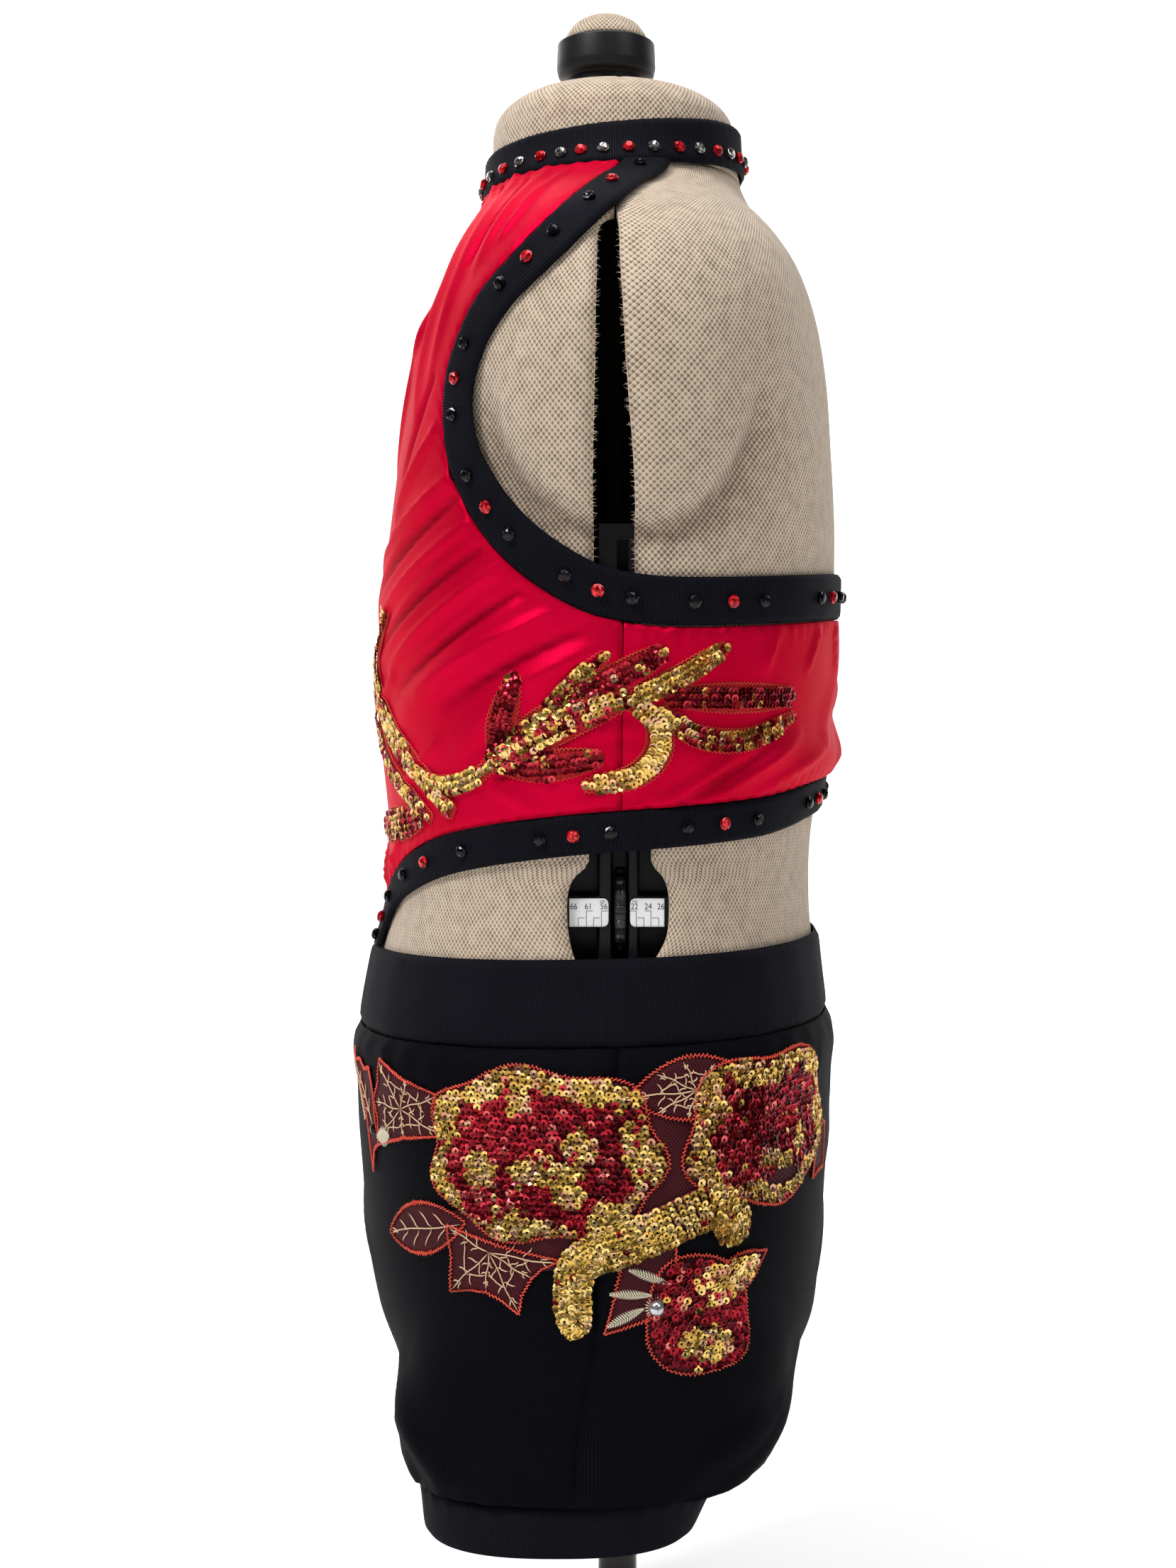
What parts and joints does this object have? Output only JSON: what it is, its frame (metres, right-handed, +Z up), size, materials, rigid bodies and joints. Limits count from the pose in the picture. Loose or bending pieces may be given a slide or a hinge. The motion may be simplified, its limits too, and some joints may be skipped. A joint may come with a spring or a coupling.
{
  "type": "child's halter dance costume on a limbless dress form with a stand",
  "caption": "Child's halter dance costume with an open back, black bands and sequin applique, resting on an adjustable limbless dress form on a pole and round base.",
  "frame": {"origin": "centre of the underside of the round base", "axes": "+Z up, +X to the wearer's left, the wearer's front faces -Y"},
  "size_m": [0.2942, 0.28, 0.7201],
  "materials": {
    "satin": "soft sheen",
    "rib": "matt, finely ribbed",
    "jersey": "matt",
    "sequins": "glossy, gold and crimson",
    "form_cloth": "open honeycomb knit",
    "black_plastic": "satin",
    "white_plastic": "satin",
    "stand_metal": "semi-gloss"
  },
  "bodies": {
    "root": {"front_panel": "satin", "back_panel": "satin", "collar": "rib", "arm_band": "rib", "lower_band": "rib", "waistband": "rib", "spray_strand_left": "sequins", "spray_strand_right": "sequins", "spray_foot_left": "sequins", "spray_foot_right": "sequins", "spray_stem_left": "sequins", "spray_stem_right": "sequins", "spray_upright_left": "sequins", "spray_upright_right": "sequins", "spray_lower_left": "sequins", "spray_lower_right": "sequins", "spray_cluster_left": "sequins", "spray_cluster_right": "sequins", "spray_tip_left": "sequins", "spray_tip_right": "sequins", "spray_crescent_left": "sequins", "spray_crescent_right": "sequins", "spray_plume_left": "sequins", "spray_plume_right": "sequins", "spray_upper_wing_left": "sequins", "spray_upper_wing_right": "sequins", "spray_lower_wing_left": "sequins", "spray_lower_wing_right": "sequins", "shorts_front_left": "jersey", "shorts_front_right": "jersey", "shorts_back_left": "jersey", "shorts_back_right": "jersey", "cuff_left": "rib", "cuff_right": "rib", "hip_applique_left": "sequins", "hip_applique_right": "sequins", "form_front_left": "form_cloth", "form_front_right": "form_cloth", "form_back_left": "form_cloth", "form_back_right": "form_cloth", "form_neck": "form_cloth", "form_knob": "black_plastic", "form_pincushion": "form_cloth", "pole": "stand_metal", "stand_base": "stand_metal", "dial_housing_left": "black_plastic", "dial_housing_right": "black_plastic", "dial_wheel_left": "black_plastic", "dial_scale_front_left": "white_plastic", "dial_scale_back_left": "white_plastic", "slider_left": "black_plastic", "slider_right": "black_plastic", "adjuster_chest": "black_plastic", "adjuster_waist": "black_plastic"}
  },
  "joints": []
}
